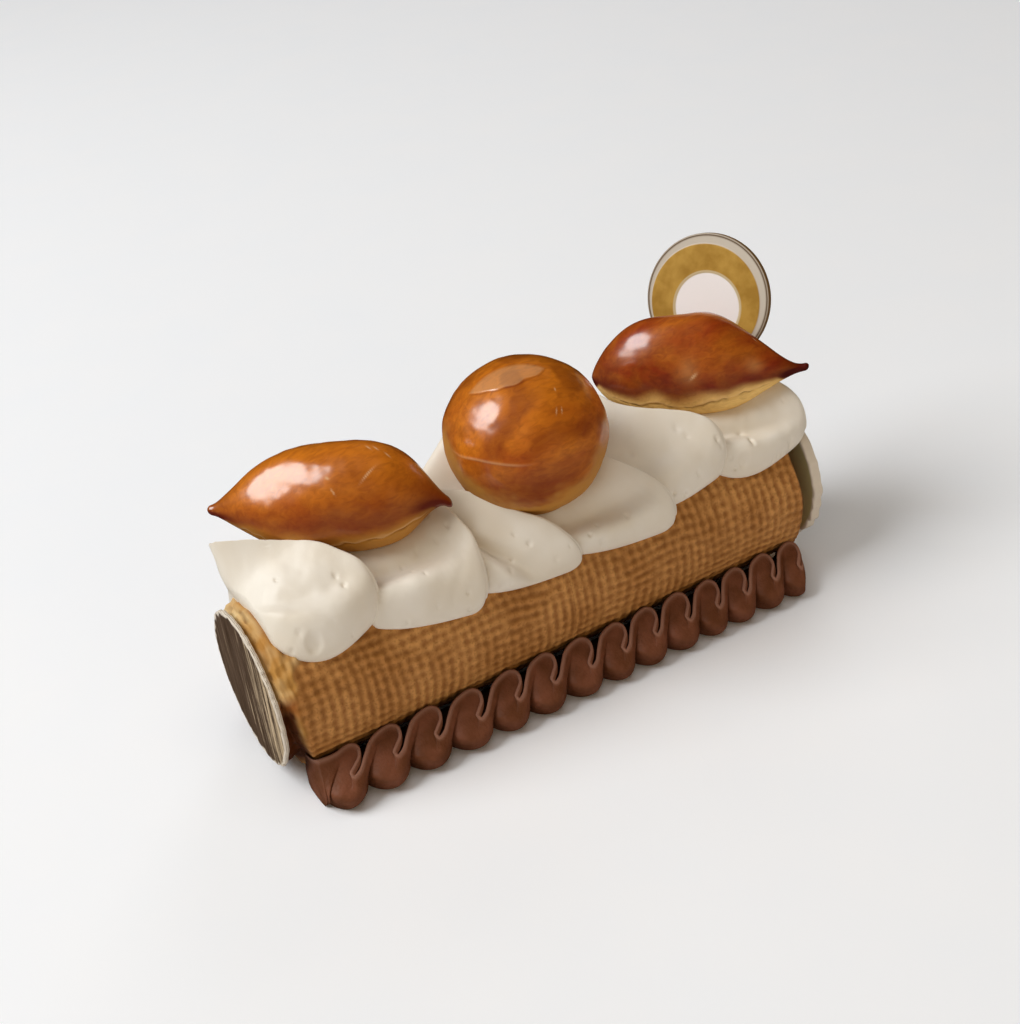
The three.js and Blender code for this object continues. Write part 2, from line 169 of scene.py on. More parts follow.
CREAM_UNDERCUT = 4.0
CREAM_ROOT_RADIUS = 26.0
CREAM_CLEAR_RADIUS = 30.4
LOBE_BELOW_VALLEY = 0.22
LOBE_WIDTH = 0.19
VALLEY_WIDTH = 0.11
WING_ANGLE = -23.0
CORNER_SHARE = 0.16
CORNER_CUT = 0.12
CREST_ROUND = 1.1
TUCK_BACK = 2.0
PITS_PER_PETAL = 22
# Soft unevenness of the cream: height, size and first seed
CREAM_WAVES = ((0.3, 14.0, 40), (0.06, 5.0, 50), (0.015, 2.5, 60))
PIT_SEED = 70
# Dimples left in the cream: X, angle from the top, half width and depth
DIMPLES = ((-91.1, 42.4, 2.4, 1.1), (77.5, 42.7, 1.8, 0.9))

# Ruffle of chocolate cream
FIRST_FOLD = -95.6
FOLD_PITCH = 16.4
FOLD_TIGHTENING = 0.172
NOMINAL_PITCH = 15.0
RIBBON_START = -0.94
RIBBON_END = 13.375
RIBBON_STEPS = 800
OUTER_LEVELS = 30
INNER_LEVELS = 22
FIRST_CREASE = -0.5
FIRST_SQUEEZE = 0.7
START_SQUEEZE = 0.28
SQUEEZE_LENGTH = 0.12
START_SETBACK = 5.0
START_LOBE = -0.72
START_LOBE_WIDTH = 0.44
START_CURL = 1.5
START_LIP_BACK = 9.0
START_ROOT_X = -100.5
RIBBON_END_ROUND = 0.4
END_HEIGHT = 0.9
BELLY_Y = -38.0
BELLY_BULGE = 4.7
BELLY_FLOOR = 0.12
SCALLOP = 0.97
CREASE_DEPTH = 9.0
FLOOR_CREASE = 4.0
FOLD_DEPTH = 9.6
FOLD_OPENS = (0.45, 1.0)
# Plan of one fold of the lip: share of the fold, how far along the log and how far back
LIP_PLAN = np.array([
    (0.00, 0.0, 0.0), (0.12, 3.2, 0.8), (0.27, 7.3, 4.7), (0.40, 10.8, 7.8), (0.52, 14.6, 9.3),
    (0.63, 18.4, 9.6), (0.70, 20.0, 8.4), (0.78, 19.6, 5.6), (0.87, 17.2, 3.2), (0.94, 15.7, 1.6),
])
LIP_PLAN_PITCH = 16.4
LIP_HEIGHT = 10.3
LIP_BEAD = 0.45
LOOP_RISE = 5.0
LIP_SHIFT = 2.7
RIBBON_THICKNESS = 1.0
FILLED_FOOT_Y = -20.0
FILLED_GAP = 2.0

# Camera, in metres: its axes, its place and its lens
CAMERA_RIGHT = (0.856778, -0.503188, -0.112845)
CAMERA_UP = (0.3557, 0.418213, 0.835808)
CAMERA_BACK = (-0.373375, -0.756241, 0.5373)
CAMERA_PLACE = (-0.211545, -0.418214, 0.353893)
SENSOR_WIDTH = 36.0
LENS = 56.25
NEAREST = 0.01
# Lights: name, place and aim in metres, size across, watts and tint
KEY_LIGHT = "key_light"
LIGHTS = (
    (KEY_LIGHT, (-1.58, 0.58, 1.86), (0.0, 0.0, 0.06), 1.75, 51.0, (1.0, 1.0, 0.99)),
    ("front_left_light", (-1.3, -1.7, 1.5), (0.0, 0.0, 0.05), 1.8, 5.5, (1.0, 0.88, 0.72)),
    ("overhead_light", (0.15, -0.1, 2.4), (0.0, 0.0, 0.04), 2.0, 9.0, (1.0, 0.98, 0.95)),
    ("low_front_light", (0.4, -1.8, 0.5), (0.0, 0.0, 0.04), 1.0, 4.5, (1.0, 0.72, 0.4)),
    ("back_right_light", (1.6, 1.9, 1.5), (1.1, 0.5, 0.0), 1.4, 10.0, (1.0, 1.0, 1.0)),
)
ROOM_TINT = "#F6E8D6"
ROOM_STRENGTH = 0.14
FLOOR_REACH = 4.0
FLOOR_DROP = 0.0005

# Inputs of a colour mix: share of the second colour, first colour and second colour
SHARE = 0
FIRST = 6
SECOND = 7


def between(low, high, share):
    """Straight mix from low to high."""
    return low + (high - low) * share


def ease(value, low, high):
    """Smooth step: 0 up to low, 1 from high on and a cubic between."""
    share = np.clip((value - low) / (high - low), 0.0, 1.0)
    return share * share * (3.0 - 2.0 * share)


def bell(value, place, width):
    """Bell curve: 1 at place and 1/e at one width from it."""
    return np.exp(-(((value - place) / width) ** 2))


def cubic(start, end, leaving, arriving, t):
    """Cubic from start to end over shares t, with its slopes at the two ends."""
    return (start * (1 - t) ** 2 * (1 + 2 * t) + end * t ** 2 * (3 - 2 * t)
            + leaving * t * (1 - t) ** 2 - arriving * t ** 2 * (1 - t))


def uneven(points, size, seed):
    """Smooth unevenness of about unit height: a sum of plane waves about size long, whose
    directions, lengths and phases are drawn from the seed."""
    draw = np.random.default_rng(seed)
    directions = draw.normal(size=(WAVES, 3))
    directions /= np.linalg.norm(directions, axis=1, keepdims=True)
    lengths = size * draw.uniform(0.7, 1.5, WAVES)
    phases = draw.uniform(0.0, 2.0 * np.pi, WAVES)
    total = np.zeros(points.shape[:-1])
    for direction, length, phase in zip(directions, lengths, phases):
        total += np.sin(points @ direction * (2.0 * np.pi / length) + phase)
    return total * np.sqrt(2.0 / WAVES)


def full_turn(count):
    """Even angles all the way round, as one row."""
    return np.linspace(0.0, 2.0 * np.pi, count, endpoint=False)[None, :]


def piece(name, rings, node, material, marks=None):
    """Closed skin over rings of points, each ring joined to the next and the two ends closed on
    their middle points. Marks are named numbers, one for each point."""
    count, around = rings.shape[:2]
    points = np.concatenate([rings.reshape(-1, 3), rings[:1].mean(1), rings[-1:].mean(1)])
    row = np.arange(count - 1)[:, None] * around
    here = np.arange(around)[None, :]
    ahead = (here + 1) % around
    quads = np.stack([row + here, row + ahead, row + around + ahead, row + around + here], -1).reshape(-1, 4)
    first_middle = count * around
    last_row = (count - 1) * around
    caps = np.concatenate([
        np.stack([np.full(around, first_middle), ahead[0], here[0]], -1),
        np.stack([np.full(around, first_middle + 1), last_row + here[0], last_row + ahead[0]], -1),
    ])
    triangles = np.concatenate([quads[:, :3], quads[:, [0, 2, 3]], caps])
    a, b, c = (points[triangles[:, corner]] for corner in range(3))
    if (np.cross(a, b) * c).sum() < 0.0:
        quads = quads[:, ::-1]
        caps = caps[:, ::-1]
    corners = np.concatenate([quads.ravel(), caps.ravel()])
    starts = np.concatenate([np.arange(len(quads)) * 4, len(quads) * 4 + np.arange(len(caps)) * 3])
    mesh = bpy.data.meshes.new(name)
    mesh.vertices.add(len(points))
    mesh.vertices.foreach_set("co", (points * MILLIMETRE).ravel())
    mesh.loops.add(len(corners))
    mesh.loops.foreach_set("vertex_index", corners.astype(np.int32))
    mesh.polygons.add(len(starts))
    mesh.polygons.foreach_set("loop_start", starts.astype(np.int32))
    mesh.polygons.foreach_set("use_smooth", np.ones(len(starts), dtype=bool))
    mesh.update(calc_edges=True)
    mesh.validate()
    for mark, values in (marks or {}).items():
        flat = np.concatenate([values.ravel(), values[:1].mean(1), values[-1:].mean(1)])
        mesh.attributes.new(mark, "FLOAT", "POINT").data.foreach_set("value", flat.astype(np.float32))
    mesh.materials.append(material)
    made = bpy.data.objects.new(name, mesh)
    bpy.context.scene.collection.objects.link(made)
    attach(made, "root")
    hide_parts(node)


def linear(colour):
    """sRGB hex to linear red, green, blue and full alpha."""
    shares = np.array([int(colour[i:i + 2], 16) for i in (1, 3, 5)]) / 255.0
    low = shares / 12.92
    high = ((shares + 0.055) / 1.055) ** 2.4
    return (*np.where(shares <= 0.04045, low, high).tolist(), 1.0)


def add(tree, kind, inputs=None, **settings):
    """Adds a node, sets its properties, and sets or links its inputs. Hex colours are made
    linear, and a node given as an input is linked from its first output in use."""
    made = tree.nodes.new(kind)
    for name, value in settings.items():
        setattr(made, name, value)
    for name, value in (inputs or {}).items():
        if isinstance(value, bpy.types.Node):
            value = next(output for output in value.outputs if not output.is_unavailable)
        if isinstance(value, bpy.types.NodeSocket):
            tree.links.new(value, made.inputs[name])
        else:
            made.inputs[name].default_value = linear(value) if isinstance(value, str) else value
    return made


def pattern_scale(size):
    """Noise scale on Object coordinates whose features are about size millimetres."""
    return 1.0 / (size * MILLIMETRE)


def blank_material(name, *marks):
    """A material with an empty node tree, its Object coordinates and the piece's named marks."""
    material = bpy.data.materials.new(name)
    material.use_nodes = True
    tree = material.node_tree
    tree.nodes.clear()
    place = add(tree, "ShaderNodeTexCoord").outputs["Object"]
    read = [add(tree, "ShaderNodeAttribute", attribute_name=mark).outputs["Fac"] for mark in marks]
    return material, tree, place, *read


def baked_puff_pastry():
    """Puff pastry baked under a woven mesh: golden ridges, browned pits and dark crumbs, matt and
    dry, with pale flakes at its left end and painted shade in its creases and low recess there."""
    material, tree, place, weave, bare, crease, spot = blank_material(
        "baked_puff_pastry", "weave", "bare", "crease", "spot")
    patches, grain, crumb = (
        add(tree, "ShaderNodeTexNoise", {"Vector": place, "Scale": pattern_scale(size), "Detail": detail})
        for size, detail in ((16, 3.0), (2.2, 4.0), (0.9, 3.0))
    )
    toasted = add(tree, "ShaderNodeMapRange", {"Value": patches, "From Min": 0.38, "From Max": 0.62})
    dots = add(tree, "ShaderNodeMapRange", {
        "Value": crumb, "From Min": 0.5, "From Max": 0.75, "To Max": 0.5,
    })
    pit, ridge, golden = (
        add(tree, "ShaderNodeMix", {SHARE: toasted, FIRST: first, SECOND: second}, data_type="RGBA")
        for first, second in (("#A06A38", "#8C5A28"), ("#CE9656", "#BE8448"), ("#E2CA98", "#BC8A46"))
    )
    flaky = add(tree, "ShaderNodeMix", {SHARE: spot, FIRST: golden, SECOND: "#A85C1C"}, data_type="RGBA")
    colour = pit
    # The crease mark is painted shade: dark in the cracks between flakes and in the recess low on the neck.
    for share, over in ((weave, ridge), (dots, "#6E441C"), (bare, flaky), (crease, "#54290C")):
        colour = add(tree, "ShaderNodeMix", {SHARE: share, FIRST: colour, SECOND: over}, data_type="RGBA")
    relief = add(tree, "ShaderNodeBump", {"Height": grain, "Strength": 0.5, "Distance": 0.3 * MILLIMETRE})
    shader = add(tree, "ShaderNodeBsdfPrincipled", {
        "Base Color": colour, "Roughness": 0.68, "Normal": relief, "IOR": 1.45, "Specular IOR Level": 0.2,
    })
    add(tree, "ShaderNodeOutputMaterial", {"Surface": shader})
    return material


def whipped_cream():
    """Whipped cream piped from a bag: off-white, satin, with faint warm and cool drifts."""
    material, tree, place = blank_material("whipped_cream")
    drift = add(tree, "ShaderNodeTexNoise", {"Vector": place, "Scale": pattern_scale(22), "Detail": 2.0})
    fine = add(tree, "ShaderNodeTexNoise", {"Vector": place, "Scale": pattern_scale(1.4), "Detail": 3.0})
    share = add(tree, "ShaderNodeMapRange", {"Value": drift, "From Min": 0.35, "From Max": 0.65})
    colour = add(tree, "ShaderNodeMix", {SHARE: share, FIRST: "#EDE7DC", SECOND: "#E6DDCD"}, data_type="RGBA")
    relief = add(tree, "ShaderNodeBump", {"Height": fine, "Strength": 0.12, "Distance": 0.2 * MILLIMETRE})
    shader = add(tree, "ShaderNodeBsdfPrincipled", {
        "Base Color": colour, "Roughness": 0.4, "Normal": relief, "IOR": 1.4, "Specular IOR Level": 0.4,
    })
    add(tree, "ShaderNodeOutputMaterial", {"Surface": shader})
    return material


def caramel_glaze(name, light, middle, dark, base):
    """Choux pastry under caramel: streaked amber with a wet clear gloss, pale scratches, and dry
    golden pastry where the caramel ends. Painted light lightens the top and the scratches, and
    painted shade darkens the low parts."""
    material, tree, place, bare, burnt_and_shade, pale, sheer_and_top_light, matt = blank_material(
        name, "bare", "burnt_and_shade", "pale", "sheer_and_top_light", "matt")
    drawn = add(tree, "ShaderNodeMapping", {
        "Vector": place, "Rotation": (0.0, 0.0, np.radians(CHOUX_TURN)), "Scale": (0.4, 1.0, 1.0),
    })
    clouds = add(tree, "ShaderNodeTexNoise", {
        "Vector": drawn, "Scale": pattern_scale(8), "Detail": 4.0, "Distortion": 0.5,
    })
    veins = add(tree, "ShaderNodeTexNoise", {
        "Vector": drawn, "Scale": pattern_scale(1.9), "Detail": 5.0, "Distortion": 0.9,
    })
    cloudy = add(tree, "ShaderNodeMapRange", {"Value": clouds, "From Min": 0.28, "From Max": 0.72})
    veined = add(tree, "ShaderNodeMapRange", {
        "Value": veins, "From Min": 0.4, "From Max": 0.8, "To Max": 0.45,
    })
    # Painted light makes the top lighter; over bubbles the sheer caramel is lighter too.
    thick_and_unlit = add(tree, "ShaderNodeMath", {0: 1.0, 1: sheer_and_top_light}, operation="SUBTRACT")
    cover = add(tree, "ShaderNodeMath", {0: cloudy, 1: thick_and_unlit}, operation="MULTIPLY")
    dry = add(tree, "ShaderNodeMix", {SHARE: veined, FIRST: base, SECOND: "#B07A38"}, data_type="RGBA")
    # The burnt mark also carries painted shade; it darkens the glaze and the bare base.
    baked = add(tree, "ShaderNodeMix", {SHARE: burnt_and_shade, FIRST: dry, SECOND: "#6A3A12"}, data_type="RGBA")
    colour = light
    # Pale marks include scratches, painted as bright as the glints they catch.
    for share, over in ((cover, middle), (veined, dark), (burnt_and_shade, dark), (bare, baked), (pale, "#E2B988")):
        colour = add(tree, "ShaderNodeMix", {SHARE: share, FIRST: colour, SECOND: over}, data_type="RGBA")
    rough = add(tree, "ShaderNodeMapRange", {"Value": matt, "To Min": 0.42, "To Max": 0.65})
    gloss = add(tree, "ShaderNodeMapRange", {"Value": matt, "To Min": 1.0, "To Max": 0.03})
    relief = add(tree, "ShaderNodeBump", {"Height": veins, "Strength": 0.05, "Distance": 0.3 * MILLIMETRE})
    shader = add(tree, "ShaderNodeBsdfPrincipled", {
        "Base Color": colour, "Roughness": rough, "Coat Weight": gloss, "Coat Roughness": 0.2,
        "Normal": relief, "IOR": 1.48, "Specular IOR Level": 0.2, "Coat IOR": 1.75,
    })
    add(tree, "ShaderNodeOutputMaterial", {"Surface": shader})
    return material


def piped_chocolate_cream():
    """Milk-chocolate cream piped through a flat nozzle: satin brown and a fine grain, with a painted
    highlight along the lip and painted shade in the hollows behind it."""
    material, tree, place, lip, hollow_shade = blank_material("piped_chocolate_cream", "lip", "hollow_shade")
    drift = add(tree, "ShaderNodeTexNoise", {"Vector": place, "Scale": pattern_scale(7), "Detail": 3.0})
    fine = add(tree, "ShaderNodeTexNoise", {"Vector": place, "Scale": pattern_scale(0.9), "Detail": 3.0})
    share = add(tree, "ShaderNodeMapRange", {"Value": drift, "From Min": 0.35, "From Max": 0.65})
    body = add(tree, "ShaderNodeMix", {SHARE: share, FIRST: "#7A4A34", SECOND: "#643A22"}, data_type="RGBA")
    # Painted shade darkens the hollows behind the lip; a painted highlight lightens the lip.
    body_with_shade = add(tree, "ShaderNodeMix", {SHARE: hollow_shade, FIRST: body, SECOND: "#1C0E07"}, data_type="RGBA")
    colour = add(tree, "ShaderNodeMix", {SHARE: lip, FIRST: body_with_shade, SECOND: "#926856"}, data_type="RGBA")
    relief = add(tree, "ShaderNodeBump", {"Height": fine, "Strength": 0.7, "Distance": 0.3 * MILLIMETRE})
    shader = add(tree, "ShaderNodeBsdfPrincipled", {
        "Base Color": colour, "Roughness": 0.5, "Normal": relief, "IOR": 1.45, "Specular IOR Level": 0.2,
    })
    add(tree, "ShaderNodeOutputMaterial", {"Surface": shader})
    return material


def brushed_chocolate_disc():
    """White chocolate disc whose outer face is brushed with dark chocolate: pale streaks show
    between the bristle marks and the chipped edge stays pale. Painted shade makes the back olive."""
    material, tree, place, face, thin, inside = blank_material(
        "brushed_chocolate_disc", "face", "thin", "inside")
    drawn = add(tree, "ShaderNodeMapping", {"Vector": place, "Scale": (1.0, 1.0, 0.06)})
    bristles = add(tree, "ShaderNodeTexNoise", {
        "Vector": drawn, "Scale": pattern_scale(1.5), "Detail": 4.0, "Roughness": 0.65,
    })
    limit = add(tree, "ShaderNodeMath", {0: bristles, 1: thin}, operation="ADD")
    streak = add(tree, "ShaderNodeMapRange", {"Value": limit, "From Min": 0.58, "From Max": 0.78})
    tone = add(tree, "ShaderNodeMapRange", {"Value": bristles, "From Min": 0.3, "From Max": 0.6})
    brown = add(tree, "ShaderNodeMix", {SHARE: tone, FIRST: "#42301F", SECOND: "#645040"}, data_type="RGBA")
    brushed = add(tree, "ShaderNodeMix", {SHARE: streak, FIRST: brown, SECOND: "#CDB694"}, data_type="RGBA")
    # Painted shade: the back face, seen in shadow, is given a darker olive.
    plain = add(tree, "ShaderNodeMix", {SHARE: inside, FIRST: "#DDD2C2", SECOND: "#B4AA7C"}, data_type="RGBA")
    colour = add(tree, "ShaderNodeMix", {SHARE: face, FIRST: plain, SECOND: brushed}, data_type="RGBA")
    relief = add(tree, "ShaderNodeBump", {"Height": bristles, "Strength": 0.3, "Distance": 0.3 * MILLIMETRE})
    shader = add(tree, "ShaderNodeBsdfPrincipled", {
        "Base Color": colour, "Roughness": 0.45, "Normal": relief, "IOR": 1.45, "Specular IOR Level": 0.2,
    })
    add(tree, "ShaderNodeOutputMaterial", {"Surface": shader})
    return material


def printed_medallion():
    """Chocolate disc with a gold-printed ring round a white middle, a pale margin, a thin dark
    line where the face ends and a tan edge."""
    material, tree, place, spread, middle, border, edge = blank_material(
        "printed_medallion", "print", "middle", "border", "edge")
    clouds = add(tree, "ShaderNodeTexNoise", {"Vector": place, "Scale": pattern_scale(6), "Detail": 3.0})
    cloudy = add(tree, "ShaderNodeMapRange", {"Value": clouds, "From Min": 0.35, "From Max": 0.65})
    inner, rim, outer = (
        add(tree, "ShaderNodeMapRange", {"Value": reach, "From Min": radius, "From Max": radius + 0.4})
        for reach, radius in ((middle, WHITE_RADIUS), (middle, WHITE_RADIUS + 1.0), (spread, RING_RADIUS))
    )
    gold = add(tree, "ShaderNodeMix", {SHARE: cloudy, FIRST: "#BC9444", SECOND: "#A47C30"}, data_type="RGBA")
    colour = "#F4F0F0"
    for share, over in (
        (inner, "#CDBB94"), (rim, gold), (outer, "#C9C0B2"), (border, "#5A4224"), (edge, "#7E6038"),
    ):
        colour = add(tree, "ShaderNodeMix", {SHARE: share, FIRST: colour, SECOND: over}, data_type="RGBA")
    shader = add(tree, "ShaderNodeBsdfPrincipled", {
        "Base Color": colour, "Roughness": 0.4, "IOR": 1.45, "Specular IOR Level": 0.3,
    })
    add(tree, "ShaderNodeOutputMaterial", {"Surface": shader})
    return material


def log_angles():
    """Angles round the log in radians: close together on the sides that show, wider apart under
    the cream and underneath."""
    step = np.degrees(SAMPLE_STEP / LOG_RADIUS)
    front = np.arange(SHOWS_FROM, SHOWS_TO, step)
    under = np.linspace(front[-1], 360.0 - front[-1], 9)[1:-1]
    top = np.linspace(-SHOWS_FROM, SHOWS_FROM, 16)[1:-1]
    return np.radians(np.concatenate([top, front, under, 360.0 - front[::-1]]))


def log_surface(along, radius):
    """Points of the log for rows of X and radius: a cylinder with a slow swell, ragged and
    flaky at its left end, a woven imprint pressed in as crossed cosine rows, flat underneath."""
    angle = log_angles()[None, :]
    x = np.broadcast_to(along[:, None], (len(along), angle.shape[1])).copy()
    r = np.broadcast_to(radius[:, None], x.shape).copy()
    turn = np.arctan2(np.cos(angle), -np.sin(angle))
    skin = ease(r, LOG_RADIUS - 1.0, LOG_RADIUS)
    r += skin * LOG_UNEVENNESS * np.sin(3.0 * turn + x / 21.0) * np.cos(x / 13.0)
    outer = ease(r, LEFT_NECK_RADIUS, LEFT_NECK_RADIUS + 2.0)
    ragged = RAGGED_EDGE * np.sin(5.0 * turn + 1.0) * np.sin(2.0 * turn)
    setback = LOW_EDGE_SETBACK * ease(-np.cos(angle), -0.2, 0.8)
    x += outer * (ragged + setback) * (1.0 - ease(x, LOG_LEFT, LOG_LEFT + RAGGED_FADE))
    x += outer * ragged * ease(x, LOG_RIGHT - RAGGED_FADE, LOG_RIGHT)
    sheet = np.stack([x, LOG_RADIUS * np.sin(angle) + 0.0 * x, LOG_RADIUS * np.cos(angle) + 0.0 * x], -1)
    degrees = np.degrees(np.abs((angle + np.pi) % (2.0 * np.pi) - np.pi))
    flaky_end = LOG_LEFT + 1.0 + FLAKY_LENGTH * bell(degrees, FLAKY_ANGLE, 14.0)
    end = 1.0 - ease(x + 0.8 * uneven(sheet, 7.0, LOG_SEED), flaky_end - 1.5, flaky_end + 1.5)
    shifted_along = x + IMPRINT_WANDER * uneven(sheet, 26.0, LOG_SEED + 1)
    shifted_round = LOG_RADIUS * angle + IMPRINT_WANDER * uneven(sheet, 26.0, LOG_SEED + 2)
    rows_along = 0.5 + 0.5 * np.cos(2.0 * np.pi * shifted_along / IMPRINT_PITCH)
    rows_round = 0.5 + 0.5 * np.cos(2.0 * np.pi * shifted_round / IMPRINT_PITCH)
    balance = np.clip(0.5 + 0.16 * uneven(sheet, 32.0, LOG_SEED + 3), 0.2, 0.8)
    weave = between(rows_round, rows_along, balance)
    weave = np.clip(weave + 0.14 * uneven(sheet, 3.6, LOG_SEED + 4), 0.0, 1.0)
    layers = uneven(sheet * np.array([1.0, 0.22, 0.22]), 1.9, LOG_SEED + 5)
    flakes = 0.35 * layers + 0.4 * uneven(sheet, 6.0, LOG_SEED + 6)
    neck = 1.0 - ease(along[:, None] + 0.0 * angle, LOG_LEFT - 0.6 * SHOULDER, LOG_LEFT + 0.4 * SHOULDER)
    low_neck = neck * ease(degrees, 62.0, 82.0)
    r += skin * (1.0 - end) * IMPRINT_DEPTH * (weave - 0.45)
    r += outer * end * flakes - NECK_RECESS * outer * low_neck
    # Painted shade: the crease mark darkens the cracks between the flaky layers and the neck's low recess.
    crease = np.clip(0.5 * end * outer * ease(-layers, 0.9, 1.7) + low_neck, 0.0, 1.0)
    points = np.stack([x, -r * np.sin(angle), np.maximum(AXIS_HEIGHT + r * np.cos(angle), 0.0)], -1)
    spot = 0.9 * bell(degrees, 73.0, 7.0) + 0.15 * bell(degrees, 30.0, 12.0)
    return points, {"weave": weave * (1.0 - end), "bare": end, "crease": crease, "spot": spot + 0.0 * x}


def pastry_log(material):
    """The log in two halves that meet in the middle, each a profile of X and radius turned
    round the log's axis."""
    left_rows = np.arange(LOG_LEFT, 0.0, SAMPLE_STEP)
    neck = np.linspace(0.0, 1.0, 8)[:-1]
    neck_x = between(LEFT_NECK_END, LOG_LEFT - SHOULDER, neck)
    neck_r = between(LEFT_NECK_RADIUS, LOG_RADIUS - SHOULDER, neck)
    round_over = np.linspace(0.0, np.pi / 2.0, 6)[:-1]
    along = np.concatenate([
        np.full(4, LEFT_NECK_END), neck_x, LOG_LEFT - SHOULDER * np.cos(round_over), left_rows, np.zeros(3),
    ])
    radius = np.concatenate([
        (4.0, 11.0, 18.0, 23.0), neck_r, LOG_RADIUS - SHOULDER + SHOULDER * np.sin(round_over),
        np.full(len(left_rows), LOG_RADIUS), (LOG_RADIUS, 20.0, 8.0),
    ])
    points, marks = log_surface(along, radius)
    piece("pastry_log_left", points, "pastry_log", material, marks)
    right_rows = np.append(np.arange(0.0, LOG_RIGHT, SAMPLE_STEP), LOG_RIGHT)
    face = LOG_RIGHT + SHOULDER
    along = np.concatenate([
        np.zeros(2), right_rows, LOG_RIGHT + SHOULDER * np.sin(round_over[1:]),
        np.full(4, face), (face + 0.6, face + 3.0, RIGHT_NECK_END, RIGHT_NECK_END),
    ])
    radius = np.concatenate([
        (8.0, 20.0), np.full(len(right_rows), LOG_RADIUS),
        LOG_RADIUS - SHOULDER + SHOULDER * np.cos(round_over[1:]),
        (28.0, 25.0, 21.0, RIGHT_NECK_RADIUS + 0.5), np.full(3, RIGHT_NECK_RADIUS), (8.0,),
    ])
    points, marks = log_surface(along, radius)
    piece("pastry_log_right", points, "pastry_log", material, marks)


def end_disc(name, node, side, size, material):
    """A disc turned about X: face, rounded edge and back, its edge nibbled by small chips."""
    radius = size["radius"]
    thickness = size["thickness"]
    seed = size["seed"]
    rim = radius - DISC_EDGE_ROUND
    corner = np.linspace(0.0, np.pi / 2.0, 5)
    flat = np.linspace(1.0, rim - 0.3, 44)
    depth = np.concatenate([
        np.zeros(len(flat)), DISC_EDGE_ROUND * (1.0 - np.cos(corner)),
        np.linspace(0.3, 0.7, 3) * thickness, thickness - DISC_EDGE_ROUND * (1.0 - np.sin(corner)),
        np.full(6, thickness),
    ])[:, None]
    reach = np.concatenate([
        flat, rim + DISC_EDGE_ROUND * np.sin(corner), np.full(3, radius),
        rim + DISC_EDGE_ROUND * np.cos(corner), np.linspace(rim - 1.0, 2.0, 6),
    ])[:, None]
    angle = full_turn(DISC_AROUND)
    plan = np.stack([0.0 * reach * angle, reach * np.sin(angle), reach * np.cos(angle)], -1)
    near_rim = ease(reach, rim - 1.2, radius)
    chips = near_rim * (0.22 * uneven(plan, 5.0, seed) - 0.5 * ease(uneven(plan, 3.0, seed + 1), 1.1, 2.0))
    spread = reach + chips
    streaks = uneven(plan * np.array([1.0, 1.0, 0.07]), 1.7, seed + 2)
    x = side * (DISC_OUTER_FACE - depth - 0.07 * np.abs(streaks) * (depth == 0.0))
    points = np.stack([x, spread * np.sin(angle), DISC_HEIGHT + spread * np.cos(angle)], -1)
    painted = 1.0 - ease(reach + 0.35 * uneven(plan, 4.0, seed + 3), rim - 0.6, rim - 0.1)
    face = painted * (depth < DISC_EDGE_ROUND)
    thin = 0.24 * ease(-points[..., 1], -6.0, 24.0) - 0.035
    # Painted shade on the back face, inside the rim.
    inside = ease(depth + 0.0 * angle, thickness - 0.2, thickness) * ease(rim - reach, 0.2, 0.9)
    piece(name, points, node, material, {"face": face, "thin": thin, "inside": inside})


def scratches(along, around, lines):
    """Thin lines on a skin measured in millimetres along and around: 1 on a line, 0 off it.
    Each line is a middle, a length and a slope."""
    total = np.zeros(np.broadcast(along, around).shape)
    for middle_along, middle_around, length, slope in lines:
        past = along - middle_along
        off = around - middle_around - slope * past
        total += bell(off, 0.0, 0.35) * bell(past, 0.0, 0.5 * length)
    return np.clip(total, 0.0, 1.0)


